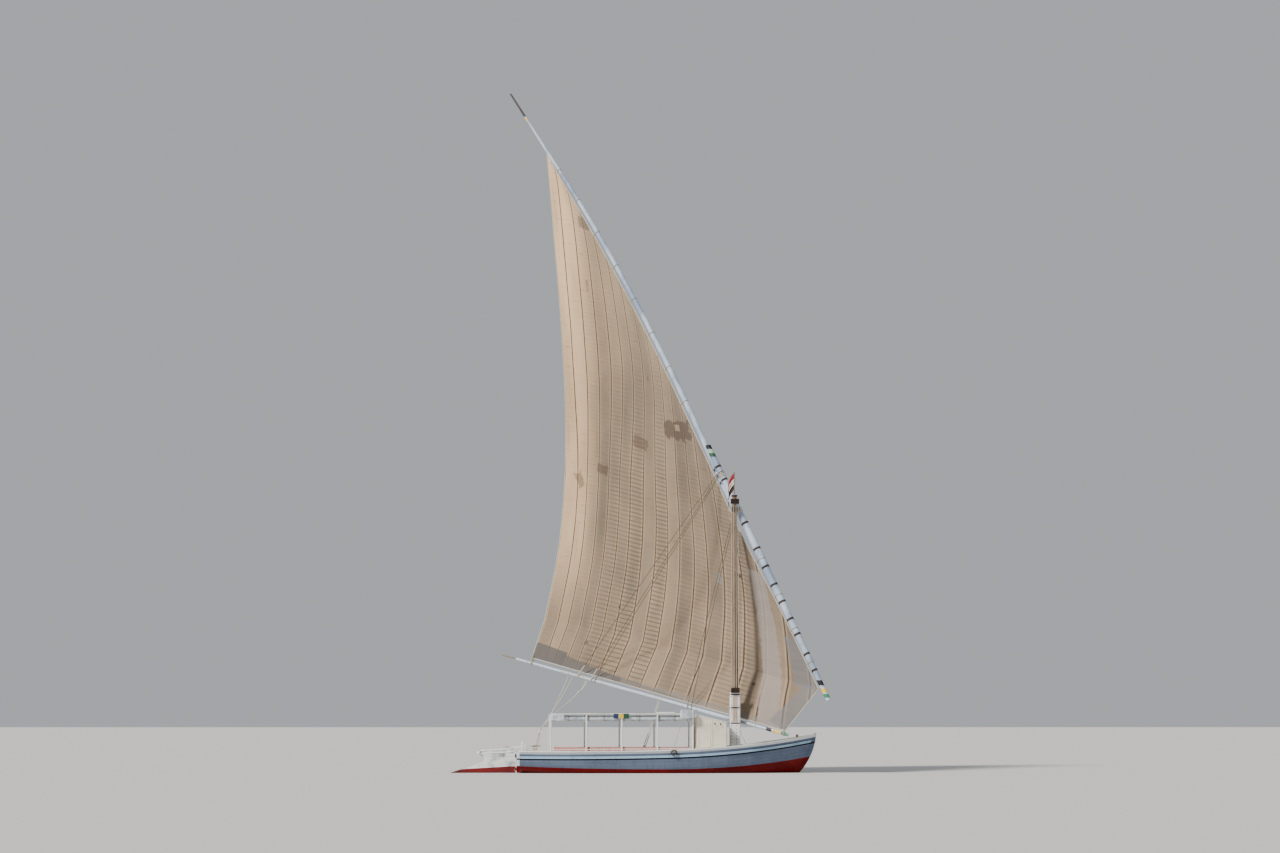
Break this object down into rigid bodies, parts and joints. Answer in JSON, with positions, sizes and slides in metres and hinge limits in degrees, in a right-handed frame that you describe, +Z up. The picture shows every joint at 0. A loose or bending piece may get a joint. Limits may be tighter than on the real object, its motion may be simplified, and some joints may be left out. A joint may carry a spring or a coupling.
{
  "type": "felucca",
  "caption": "Shallow wooden river sailing boat with a long lateen yard, patched sail, boom, canopy over side benches, cuddy and broad rudder.",
  "frame": {"origin": "centreline of the hull at its waterline, amidships", "axes": "+X towards the bow, +Y to port, +Z up along the mast"},
  "size_m": [14.6763, 9.2683, 28.8097],
  "materials": {
    "white_paint": "gloss",
    "hull_paint": "painted planking",
    "blue_paint": "painted moulding",
    "red_paint": "painted",
    "cream_paint": "painted panels",
    "deck_wood": "worn boards",
    "mast_wood": "oiled pole",
    "spar_paint": "painted pole",
    "sail_cloth": "patched cotton",
    "canvas": "rolled cloth",
    "cushion": "striped cover",
    "flag_cloth": "plain stripes",
    "rope": "twisted rope",
    "iron": "dark paint",
    "rubber": "worn",
    "panel": "three painted bands"
  },
  "bodies": {
    "hull": {"hull_shell": "hull_paint", "gunwale_cap": "white_paint", "rub_strake": "blue_paint", "stem": "hull_paint", "keel": "red_paint", "sternpost": "white_paint", "frames": "deck_wood", "sole": "deck_wood", "foredeck": "white_paint", "side_decks": "white_paint", "stern_deck": "deck_wood", "aft_bulkhead": "white_paint", "fore_bulkhead": "white_paint", "benches": "white_paint", "seat_cushions": "cushion", "back_cushions": "cushion", "canopy_frame": "white_paint", "canopy_roof": "canvas", "curtain_rolls": "canvas", "curtain_bundles": "canvas", "canopy_panel": "panel", "guard_rails": "white_paint", "cuddy_walls": "cream_paint", "cuddy_roof": "cream_paint", "mast_step": "deck_wood", "mast": "mast_wood", "mast_cheeks": "white_paint", "mast_straps": "iron", "mast_braces": "white_paint", "halyard_blocks": "iron", "halyard_falls": "rope", "masthead_cap": "iron", "flag_staff": "mast_wood", "flag": "flag_cloth", "bow_bitt": "deck_wood", "stern_rail": "white_paint", "gudgeons": "iron", "fender": "rubber"},
    "rudder": {"rudder_blade": "hull_paint", "rudder_knob": "white_paint", "pintles": "iron", "tiller": "white_paint"},
    "rig": {"lower_spar": "spar_paint", "upper_spar": "spar_paint", "boom": "white_paint", "boom_tip": "mast_wood", "sail": "sail_cloth", "yard_lashings": "rope", "luff_robands": "rope", "parrel": "iron", "corner_lashings": "rope"}
  },
  "joints": [
    {"name": "rudder_turn", "type": "hinge", "parent": "hull", "child": "rudder", "pos_m": [-5.762, 0, 0], "axis": [0, 0, 1], "range_deg": [-40, 40]},
    {"name": "rig_slew", "type": "hinge", "parent": "hull", "child": "rig", "pos_m": [2.66, 0, 0], "axis": [0, 0, 1], "range_deg": [-30, 35]}
  ]
}
